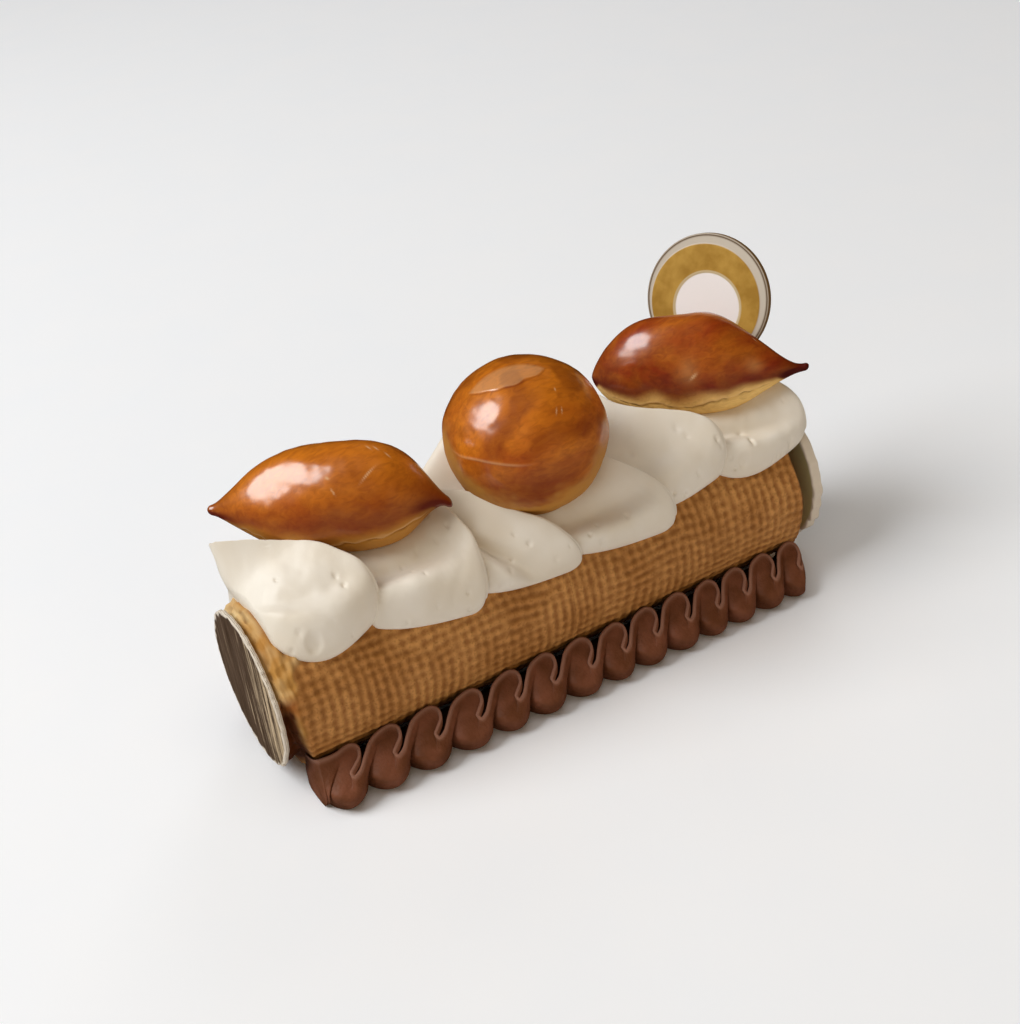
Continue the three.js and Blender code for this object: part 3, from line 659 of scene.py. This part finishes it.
def long_chou(name, node, size, material):
    """A lemon-shaped chou: half ellipses above and below its waist, drawn out to two tips where
    the girth is (1 - s ** p) ** q, each ending in a small round nub. A bell of both parameters
    flattens its upper left side. The caramel thins out above a flat golden base, set off by a
    wavy crack."""
    seed = size["seed"]
    s = -np.cos(np.linspace(0.02, np.pi - 0.02, LONG_CHOU_GRID[0]))[:, None]
    theta = full_turn(LONG_CHOU_GRID[1])
    turn = np.degrees(theta)
    across = np.cos(theta)
    up = np.sin(theta)
    is_left = s < 0.0
    droop, nub, dark_tip = (np.where(is_left, *size[part]) for part in ("droop", "nubs", "dark_tips"))
    left_power, left_root = size["left_taper"]
    right_power, right_root = size["right_taper"]
    left_girth = (1.0 - np.abs(s) ** left_power) ** left_root
    right_girth = (1.0 - np.abs(s) ** right_power) ** right_root
    girth = np.where(is_left, left_girth, right_girth)
    nub_share = nub / (0.5 * size["length"])
    into_nub = np.clip((np.abs(s) - 1.0 + nub_share) / nub_share, 0.0, 1.0)
    cap = nub * np.sqrt(1.0 - into_nub ** 2)
    side = across * np.hypot(size["half_width"] * girth, cap)
    upper = np.hypot(size["above"] * girth, cap)
    lower = np.hypot(size["below"] * girth ** size["underside"], cap)
    height = np.maximum(up * np.where(up > 0.0, upper, lower), -CHOU_FLAT * size["below"])
    place = np.stack([s * size["length"] / 2.0 + 0.0 * theta, side, height], -1)
    level = height / np.maximum(lower, 0.08 * size["below"])
    line = size["caramel_line"] + 0.05 * uneven(place, 14.0, seed + 2) - 0.8 * ease(girth, 0.3, 0.12)
    bare = 1.0 - ease(level, line - 0.22, line + 0.24)
    off_tips = ease(girth, 0.3, 0.6)
    crack_line = line - 0.25 + 0.02 * uneven(place, 4.0, seed + 3)
    crack = bell(level, crack_line, 0.022) * off_tips
    lip = bell(level, crack_line + 0.06, 0.03) * off_tips
    swell = 0.22 * uneven(place, 21.0, seed) + 0.03 * uneven(place, 5.0, seed + 1) - 0.5 * crack + 0.15 * lip
    swell = swell - size["flank"] * bell(s, *FLANK_ALONG) * bell(turn, *FLANK_AROUND)
    side = side + across * swell * girth ** 0.5
    height = height + up * swell * girth ** 0.5 - droop * np.abs(s) ** 8
    tips = ease(np.abs(s), 0.62, 0.95) * dark_tip
    # Painted shade: the caramel darkens towards the bottom of the chou.
    lower_shade = 0.6 * ease(level, 0.8, 0.0) * (1.0 - bare)
    broken = ease(uneven(place, 6.0, seed + 4), -0.8, 0.6)
    brown_s, brown_turn = size["browned"]
    browned = bell(s, brown_s, 0.3) * bell(turn, brown_turn, 26.0) * (1.0 - bare)
    browned = browned * (0.6 + 0.4 * ease(uneven(place, 9.0, seed + 5), -0.6, 0.8))
    # Burnt tips, the browned patch and the crack, with the painted shade low down.
    burnt_and_shade = np.clip(tips + lower_shade + 0.4 * browned + 0.7 * crack * broken, 0.0, 1.0)
    bubbles = 0.0 * level
    for bubble_s, bubble_turn in size["bubbles"]:
        bubbles = bubbles + bell(s, bubble_s, 0.08) * bell(turn, bubble_turn, 11.0)
    reach = place[..., 0]
    # Scratches: real marks, painted as bright as the glints they catch.
    lines = scratches(reach, size["half_width"] * theta, size["scratches"])
    pale = np.clip(lines + 0.4 * lip + 0.16 * bubbles, 0.0, 1.0)
    # Painted light makes the top lighter; over bubbles the sheer caramel is lighter too.
    sheer_and_top_light = np.clip(size["sheer_and_top_light"] * ease(up, 0.1, 0.95) + 0.9 * bubbles, 0.0, 1.0)
    matt = 1.0 - ease(level, line - 0.1, line + 0.6)
    yaw = np.radians(size["yaw"])
    points = np.stack([
        size["centre"][0] + reach * np.cos(yaw) - side * np.sin(yaw),
        size["centre"][1] + reach * np.sin(yaw) + side * np.cos(yaw),
        size["centre"][2] + height,
    ], -1)
    piece(name, points, node, material,
          {"bare": bare, "burnt_and_shade": burnt_and_shade, "pale": pale, "sheer_and_top_light": sheer_and_top_light, "matt": matt})


def round_chou(name, material):
    """A ball with a lowered crown and a flat base, a thin caramel ridge part of the way round
    and a cracked flake near the top, whose edge is a bow between two tips."""
    size = ROUND_CHOU
    seed = size["seed"]
    polar = np.linspace(0.03, np.pi - 0.03, ROUND_CHOU_GRID[0])[:, None]
    turn = full_turn(ROUND_CHOU_GRID[1])
    out = np.sin(polar)
    unit = np.stack([out * np.cos(turn), out * np.sin(turn), np.cos(polar) + 0.0 * turn], -1)
    place = unit * size["radius"]
    latitude = 90.0 - np.degrees(polar)
    bearing = np.degrees(turn)
    ridge_run = ease(bearing, *RIDGE_STARTS) * (1.0 - ease(bearing, *RIDGE_ENDS))
    ridge = ridge_run * bell(latitude + 1.0 * np.sin(bearing / 9.0), RIDGE_LATITUDE, RIDGE_WIDTH)
    from_tip = unit[..., :2] - np.array(FLAKE_TIP)
    along = FLAKE_RUN[0] * from_tip[..., 0] + FLAKE_RUN[1] * from_tip[..., 1]
    across = FLAKE_RUN[0] * from_tip[..., 1] - FLAKE_RUN[1] * from_tip[..., 0]
    bow = 4.0 * np.clip(along, 0.0, 1.0) * np.clip(1.0 - along, 0.0, 1.0) * (latitude > 10.0)
    front_edge = across + FLAKE_FRONT * bow + 0.03 * uneven(place, 8.0, seed + 5) * bow
    on_flake = ease(bow, 0.05, 0.3)
    flake = on_flake * ease(front_edge, 0.0, 0.02) * ease(FLAKE_BACK * bow - across, 0.0, 0.09)
    flake_lip = on_flake * bell(front_edge, 0.008, 0.01)
    flake_shade = on_flake * bell(front_edge, -0.018, 0.014)
    behind = ease(np.abs(bearing - FRONT_BEARING), 25.0, 80.0)
    line = CARAMEL_LATITUDE + CARAMEL_BEHIND * behind + 4.0 * uneven(place, 16.0, seed + 2)
    line = line + 1.2 * uneven(place, 4.0, seed + 3) + CARAMEL_LEFT * bell(bearing, LEFT_BEARING, 26.0)
    bare = 1.0 - ease(latitude, line - 12.0, line + 10.0)
    swell = 0.12 * uneven(place, 17.0, seed) + 0.02 * uneven(place, 4.0, seed + 1)
    swell = swell + 0.25 * ridge + 0.15 * flake - 0.2 * bare
    ball = place + unit * swell[..., None]
    height = np.where(ball[..., 2] > 0.0, ball[..., 2] * size["crown"] / size["radius"],
                      np.maximum(ball[..., 2], -size["base"]))
    points = np.stack([ball[..., 0], ball[..., 1], height], -1) + np.array(size["centre"])
    # Painted shade: darker below the ridge, on the side that faces the camera.
    below_ridge_shade = ease(latitude, 14.0, -14.0) * bell(bearing, FRONT_BEARING, 65.0) * (1.0 - bare)
    patches = 0.38 * ease(uneven(place, 12.0, seed + 6), 0.0, 1.5) * ease(latitude, -8.0, 16.0)
    # Burnt patches, with painted shade below the ridge and under the flake's front edge.
    burnt_and_shade = np.clip(0.65 * below_ridge_shade + patches + 0.4 * flake_shade, 0.0, 1.0)
    # Painted light makes the top lighter.
    sheer_and_top_light = 0.6 * ease(latitude, 5.0, 60.0) + 0.0 * bearing
    # Scratches: real marks, painted as bright as the glints they catch.
    lines = scratches(size["radius"] * turn, size["radius"] * np.pi / 180.0 * latitude, size["scratches"])
    pale = np.clip(0.4 * ridge + 0.3 * flake + 0.15 * flake_lip + lines, 0.0, 1.0)
    matt = np.maximum(bare, 0.9 * ease(latitude, 6.0, -14.0))
    piece(name, points, "chou_round", material,
          {"bare": bare, "burnt_and_shade": burnt_and_shade, "pale": pale, "sheer_and_top_light": sheer_and_top_light, "matt": matt})


def medallion(name, material):
    """A disc standing in the cream: a profile of reach and depth turned about the line that its
    face looks along, with the printed ring raised."""
    size = MEDALLION
    facing, lean = np.radians([size["facing"], size["lean"]])
    outward = np.array([-np.sin(facing), -np.cos(facing), np.tan(lean)])
    outward /= np.linalg.norm(outward)
    sideways = np.array([np.cos(facing), -np.sin(facing), 0.0])
    downward = np.cross(sideways, outward)
    corner = np.linspace(0.0, np.pi / 2.0, 5)
    rim = size["radius"] - MEDALLION_EDGE_ROUND
    flat = np.linspace(0.5, rim - 0.2, 90)
    reach = np.concatenate([
        flat, rim + MEDALLION_EDGE_ROUND * np.sin(corner), rim + MEDALLION_EDGE_ROUND * np.cos(corner),
        np.linspace(rim - 1.0, 2.0, 5),
    ])[:, None]
    depth = np.concatenate([
        np.zeros(len(flat)), MEDALLION_EDGE_ROUND * (1.0 - np.cos(corner)),
        size["thickness"] - MEDALLION_EDGE_ROUND * (1.0 - np.sin(corner)), np.full(5, size["thickness"]),
    ])[:, None]
    angle = full_turn(MEDALLION_AROUND)
    right = reach * np.cos(angle)
    down = reach * np.sin(angle)
    spread = np.hypot(right - RING_MIDDLE[0], down - RING_MIDDLE[1])
    middle = np.hypot(right - WHITE_MIDDLE[0], down - WHITE_MIDDLE[1])
    in_ring = 1.0 - ease(spread, RING_RADIUS, RING_RADIUS + 0.5)
    in_white = 1.0 - ease(middle, WHITE_RADIUS + 0.2, WHITE_RADIUS + 0.8)
    inward = depth - PRINT_RELIEF * (in_ring - in_white) * (depth == 0.0)
    points = (np.array(size["face"]) + right[..., None] * sideways + down[..., None] * downward
              - inward[..., None] * outward)
    border = bell(reach + 0.0 * angle, rim - 0.2, 0.35)
    edge = ease(depth + 0.0 * angle, 0.1, 0.3)
    piece(name, points, "medallion", material,
          {"print": spread, "middle": middle, "border": border, "edge": edge})


def crest_line(index, angle):
    """X of a petal's crest at angles from the top: a cubic between each pair of station values,
    with each station's slope from its neighbours."""
    if index < 0:
        return CREAM_LEFT + 0.0 * angle
    values = np.array(PETALS[index]["crest"], dtype=float)
    padded = np.concatenate([values[:1], values, values[-1:]])
    slopes = (padded[2:] - padded[:-2]) / 2.0
    clamped = np.clip(angle, STATIONS[0], STATIONS[-1])
    span = np.clip(np.searchsorted(STATIONS, clamped, side="right") - 1, 0, len(STATIONS) - 2)
    t = (clamped - STATIONS[span]) / (STATIONS[span + 1] - STATIONS[span])
    return cubic(values[span], values[span + 1], slopes[span], slopes[span + 1], t)


def petal(index, material):
    """One petal of cream: from under the last crest (t = 0) it swells over a lower lobe, dips in
    a valley and rises to its own thin crest (t = 1), all as a height over the log's surface;
    the crest is rounded over and tucks down behind."""
    form = PETALS[index]
    run = np.linspace(0.0, 1.0, PETAL_GRID[0])
    roll = np.linspace(0.0, np.pi / 2.0, 6)[1:]
    tuck = np.linspace(0.0, 1.0, 9)[1:]
    t = np.concatenate([run, np.ones(len(roll) + len(tuck))])[:, None]
    over = np.concatenate([np.zeros(len(run)), roll, np.full(len(tuck), np.pi / 2.0)])[:, None]
    down = np.concatenate([np.zeros(len(run) + len(roll)), tuck])[:, None]
    arc = np.linspace(-1.0, 1.0, PETAL_GRID[1])[None, :]
    edge = between(form["start"], form["foot"], t) + form["bulge"] * np.sin(np.pi * t ** 0.65)
    corner = np.clip((t - 1.0 + CORNER_SHARE) / CORNER_SHARE, 0.0, 1.0)
    edge = edge * (1.0 - CORNER_CUT * (1.0 - np.sqrt(1.0 - 0.98 * corner ** 2)))
    reach = np.where(arc > 0.0, edge, CREAM_BACK_EDGE)
    angle = reach * np.sin(arc * np.pi / 2.0)
    share = np.abs(angle) / reach
    dome = np.maximum(np.cos(arc * np.pi / 2.0), 0.0) ** 1.1
    near = bell(angle, WING_ANGLE, form["spread"])
    wing = between(CREAM_START_HEIGHT, form["height"] + near * form["back"], t ** form["late"]) * dome
    slant = form["fold"][1] - form["fold"][0]
    below = (share - between(form["fold"][0], form["fold"][1], t)) / np.sqrt(1.0 + slant ** 2)
    lobe = form["lobe"] * bell(below, LOBE_BELOW_VALLEY, LOBE_WIDTH) * np.sin(np.pi * t ** 0.7) * dome
    valley = form["valley"] * bell(below, 0.0, VALLEY_WIDTH) * np.sin(np.pi * t ** 0.85) * dome * (arc > 0.0)
    rise = wing + lobe - valley
    before = crest_line(index - 1, angle) - (CREAM_UNDERCUT if index > 0 else 0.0)
    thin = np.minimum(CREST_ROUND, 0.4 * rise)
    rise = (rise - thin * (1.0 - np.cos(over))) * (1.0 - down)
    lean = form["lean"] * near * rise
    x = between(before, crest_line(index, angle), t) - lean + thin * np.sin(over) - TUCK_BACK * down
    turn = np.radians(angle)
    sheet = np.stack([x, -LOG_RADIUS * np.sin(turn), LOG_RADIUS * np.cos(turn)], -1)
    soft = sum(height * uneven(sheet, size, first_seed + index) for height, size, first_seed in CREAM_WAVES)
    draw = np.random.default_rng(PIT_SEED + index)
    pits = np.zeros(rise.shape)
    for _ in range(PITS_PER_PETAL):
        row = draw.integers(10, len(run) - 4)
        column = draw.integers(26, arc.shape[1] - 18)
        width = draw.uniform(0.5, 1.0)
        distance = ((sheet - sheet[row, column]) ** 2).sum(-1)
        pits += draw.uniform(0.3, 0.8) * np.exp(-distance / width ** 2)
    for dimple_x, dimple_angle, half_width, depth in DIMPLES:
        distance = np.hypot(x - dimple_x, LOG_RADIUS * (turn - np.radians(dimple_angle)))
        pits += depth * np.exp(-((distance / half_width) ** 4))
    radius = LOG_RADIUS + rise + soft * dome * (1.0 - down) - pits * (down == 0.0)
    top = np.stack([x, -radius * np.sin(turn), AXIS_HEIGHT + radius * np.cos(turn)], -1)
    root_columns = slice(None, None, -8)
    root_turn = turn[:, root_columns]
    root_x = x[:, root_columns] + lean[:, root_columns]
    past_log = ease(root_x, LOG_RIGHT, LOG_RIGHT + SHOULDER)
    root_radius = between(CREAM_ROOT_RADIUS, CREAM_CLEAR_RADIUS, past_log)
    root_z = AXIS_HEIGHT + root_radius * np.cos(root_turn)
    root = np.stack([root_x, -root_radius * np.sin(root_turn), root_z], -1)
    rings = np.concatenate([top, root], axis=1)
    piece(f"cream_petal_{index + 1}", rings, "whipped_cream", material)


def lip_plan(fold):
    """Plan of the ruffle's lip at shares of a fold: how far it runs ahead of an even pace along
    the log, and how far back it lies. A cubic joins each pair of plan points, with the slope at
    a point from its neighbours, and the last point joins the next fold's first."""
    shares, along, back = LIP_PLAN.T
    ahead = along - LIP_PLAN_PITCH * shares
    knots = np.concatenate([shares[-2:] - 1.0, shares, shares[:3] + 1.0])
    span = np.clip(np.searchsorted(knots, fold, side="right") - 1, 1, len(knots) - 3)
    width = knots[span + 1] - knots[span]
    t = (fold - knots[span]) / width
    curves = []
    for values in (ahead, back):
        ringed = np.concatenate([values[-2:], values, values[:3]])
        slopes = np.gradient(ringed, knots)
        leaving = width * slopes[span]
        arriving = width * slopes[span + 1]
        curves.append(cubic(ringed[span], ringed[span + 1], leaving, arriving, t))
    return curves


def ribbon_face(phase, level):
    """The ruffle's outer face. Low down its plan is a row of round scallops that meet in creases,
    and a sine of the height bulges them. Towards the lip it opens into the folds of the lip's
    plan, which run back to the log, on past the next belly and forward again."""
    started = np.maximum(phase, 0.0)
    first = np.clip(phase, FIRST_CREASE, 0.0)
    squeezed = np.minimum(phase - FIRST_CREASE, 0.0)
    in_start = ease(-squeezed, 0.0, SQUEEZE_LENGTH)
    tight = between(1.0, START_SQUEEZE, in_start)
    spread = (FOLD_PITCH - 2.0 * FOLD_TIGHTENING * started) / NOMINAL_PITCH * tight
    ahead, back = lip_plan(phase - np.floor(phase))
    back = between(back, START_LIP_BACK, in_start)
    back_share = back / FOLD_DEPTH
    in_lobe = (phase - START_LOBE) / START_LOBE_WIDTH
    off_middle = np.where(phase < FIRST_CREASE, np.clip(in_lobe, -0.5, 0.5), phase - np.round(phase))
    scallop = 1.0 - np.sqrt(1.0 - (2.0 * SCALLOP * off_middle) ** 2)
    bulge = np.sin(np.pi * between(BELLY_FLOOR, 1.0, level))
    opened = ease(level, *FOLD_OPENS)
    x = FIRST_FOLD + FOLD_PITCH * (started + FIRST_SQUEEZE * first + START_SQUEEZE * squeezed)
    x = x - FOLD_TIGHTENING * started ** 2
    x = x + spread * opened * (LIP_SHIFT + ahead)
    x = x + 0.35 * np.sin(2.1 * phase + 0.7)
    crease = CREASE_DEPTH + FLOOR_CREASE * (1.0 - ease(level, 0.0, 0.35))
    y = BELLY_Y - BELLY_BULGE * bulge + between(crease * scallop, back, opened)
    y = y + START_SETBACK * (1.0 - back_share * opened) * in_start
    z = level * (LIP_HEIGHT + LOOP_RISE * back_share + 0.4 * np.sin(1.7 * phase))
    return np.stack([x, y, z], -1)


def ribbon_inward(phase, level):
    """Level direction square to the ruffle's outer face, pointing in: its run over a short step,
    turned a quarter round."""
    step = 0.004
    ahead = ribbon_face(phase + step, level) - ribbon_face(phase - step, level)
    normal = np.stack([-ahead[..., 1], ahead[..., 0], 0.0 * ahead[..., 0]], -1)
    return normal / np.linalg.norm(normal, axis=-1, keepdims=True)


def rounded_ends(points, phase):
    """Draws both ends of the ribbon back to the log and lowers them, by a quarter circle. The
    start also curls in along the log."""
    from_start = phase - RIBBON_START
    into = np.clip(np.minimum(from_start, RIBBON_END - phase) / RIBBON_END_ROUND, 0.0, 1.0)
    rounded = np.sqrt(1.0 - (1.0 - into) ** 2)
    points[..., 0] += START_CURL * (1.0 - rounded) * (from_start < RIBBON_END_ROUND)
    points[..., 1] = between(np.maximum(points[..., 1], FILLED_FOOT_Y), points[..., 1], rounded)
    points[..., 2] *= between(END_HEIGHT, 1.0, rounded)
    return points


def ruffle(name, node, side, material):
    """A ribbon on edge: outer face up, a beaded lip, inner face down, carried along the folds.
    Low down it is filled back to the log."""
    phase = np.linspace(RIBBON_START, RIBBON_END, RIBBON_STEPS)[:, None]
    outer_level = np.linspace(0.0, 1.0, OUTER_LEVELS)[None, :]
    inner_level = np.linspace(1.0, 0.0, INNER_LEVELS)[None, :]
    bead = 0.12 * bell(outer_level, 1.0, 0.07)
    drag_wave = np.sin(2.0 * np.pi * outer_level * 11.0 + 1.5 * np.sin(phase * 3.0))
    drag = 0.05 * drag_wave * ease(outer_level, 0.1, 0.3)
    outer = ribbon_face(phase, outer_level) - ribbon_inward(phase, outer_level) * (bead + drag)[..., None]
    thickness = RIBBON_THICKNESS * ease(inner_level, *FOLD_OPENS)
    inner = ribbon_face(phase, inner_level) + ribbon_inward(phase, inner_level) * thickness[..., None]
    filled = 1.0 - ease(inner_level, 0.55, 0.92)
    chord = np.sqrt(np.maximum(LOG_RADIUS ** 2 - (AXIS_HEIGHT - inner[..., 2]) ** 2, 0.0))
    filling = np.maximum(inner[..., 1], np.minimum(FILLED_FOOT_Y, -chord - FILLED_GAP))
    inner[..., 1] = between(inner[..., 1], filling, filled)
    in_start = ease(-phase, 0.4, 0.62)
    inner[..., 0] = between(inner[..., 0], np.maximum(inner[..., 0], START_ROOT_X), filled * in_start)
    bend = np.linspace(0.0, np.pi, 8)[1:-1][None, :]
    lip = between(outer[:, -1:, :], inner[:, :1, :], (0.5 - 0.5 * np.cos(bend))[..., None])
    lip[..., 2] += LIP_BEAD * np.sin(bend)
    rings = rounded_ends(np.concatenate([outer, lip, inner], axis=1), phase)
    if side > 0:
        rings = rings * np.array([-1.0, -1.0, 1.0]) + np.array([LOG_LEFT + LOG_RIGHT, 0.0, 0.0])
    # Painted highlight along the lip, fainter on its inner side.
    outer_lip_highlight = bell(outer_level, 1.0, 0.035)
    inner_lip_highlight = 0.4 * bell(inner_level, 1.0, 0.05)
    edge = np.concatenate([outer_lip_highlight, np.ones(bend.shape), inner_lip_highlight], axis=1)
    outside = np.zeros((1, outer_level.size + bend.size))
    # Painted shade on the inner face below the lip, in the hollows behind it.
    hollow_shade = np.concatenate([outside, ease(inner_level, 0.98, 0.75)], axis=1)
    piece(name, rings, node, material,
          {"lip": edge + 0.0 * phase, "hollow_shade": hollow_shade * (1.0 - in_start)})


def placed(across, upright, away, place):
    """Matrix of an object from the directions of its three axes and its place."""
    rows = [(across[i], upright[i], away[i], place[i]) for i in range(3)]
    return Matrix(rows + [(0.0, 0.0, 0.0, 1.0)])


def camera_and_light():
    """The camera at the photograph's place, a pale floor, a soft light from the back left and
    wide, weaker ones from the front left, from overhead, from the back right and, warm, from low
    in front. Of these only the light from the back left shows in reflections."""
    scene = bpy.context.scene
    camera = bpy.data.cameras.new("camera")
    camera.sensor_width = SENSOR_WIDTH
    camera.lens = LENS
    camera.clip_start = NEAREST
    holder = bpy.data.objects.new("camera", camera)
    holder.matrix_world = placed(CAMERA_RIGHT, CAMERA_UP, CAMERA_BACK, CAMERA_PLACE)
    scene.collection.objects.link(holder)
    scene.camera = holder
    for name, place, aim, size, power, tint in LIGHTS:
        lamp = bpy.data.lights.new(name, "AREA")
        lamp.shape = "DISK"
        lamp.size = size
        lamp.energy = power
        lamp.color = tint
        away = np.array(place) - np.array(aim)
        away = away / np.linalg.norm(away)
        across = np.cross((0.0, 0.0, 1.0), away)
        across = across / np.linalg.norm(across)
        lamp_holder = bpy.data.objects.new(name, lamp)
        lamp_holder.matrix_world = placed(across, np.cross(away, across), away, place)
        lamp_holder.visible_glossy = name == KEY_LIGHT
        scene.collection.objects.link(lamp_holder)
    world = bpy.data.worlds.new("studio")
    world.use_nodes = True
    backdrop = world.node_tree.nodes["Background"]
    backdrop.inputs["Color"].default_value = linear(ROOM_TINT)
    backdrop.inputs["Strength"].default_value = ROOM_STRENGTH
    scene.world = world
    world.cycles_visibility.glossy = False
    scene.view_settings.view_transform = "Standard"
    material, tree, place = blank_material("pale_floor")
    grain = add(tree, "ShaderNodeTexNoise", {"Vector": place, "Scale": pattern_scale(40), "Detail": 2.0})
    shade = add(tree, "ShaderNodeMix", {SHARE: grain, FIRST: "#F5F9FF", SECOND: "#F9FBFF"}, data_type="RGBA")
    shader = add(tree, "ShaderNodeBsdfPrincipled", {"Base Color": shade, "Roughness": 0.9})
    add(tree, "ShaderNodeOutputMaterial", {"Surface": shader})
    corners = [(FLOOR_REACH * i, FLOOR_REACH * j, 0.0) for i, j in ((-1, -1), (1, -1), (1, 1), (-1, 1))]
    floor_mesh = bpy.data.meshes.new("floor")
    floor_mesh.from_pydata(corners, [], [(0, 1, 2, 3)])
    floor_mesh.materials.append(material)
    floor = bpy.data.objects.new("floor", floor_mesh)
    floor.location.z = -FLOOR_DROP
    floor.visible_glossy = False
    scene.collection.objects.link(floor)


def build():
    """Makes every piece of the cake."""
    pastry_log(baked_puff_pastry())
    chocolate = brushed_chocolate_disc()
    end_disc("brushed_disc_left", "end_disc_left", -1.0, LEFT_DISC, chocolate)
    end_disc("brushed_disc_right", "end_disc_right", 1.0, RIGHT_DISC, chocolate)
    cream = whipped_cream()
    for index in range(len(PETALS)):
        petal(index, cream)
    amber = caramel_glaze("amber_caramel_glaze", "#D67C1A", "#A84A08", "#6A1E02", "#B87E32")
    red = caramel_glaze("red_caramel_glaze", "#BE6818", "#962E0A", "#521004", "#F2CA7C")
    long_chou("glazed_chou_left", "chou_left", LEFT_CHOU, amber)
    long_chou("glazed_chou_right", "chou_right", RIGHT_CHOU, red)
    round_chou("glazed_chou_round", amber)
    medallion("printed_disc", printed_medallion())
    chocolate_cream = piped_chocolate_cream()
    ruffle("piped_ruffle_front", "ruffle_front", -1, chocolate_cream)
    ruffle("piped_ruffle_back", "ruffle_back", 1, chocolate_cream)


camera_and_light()
build()
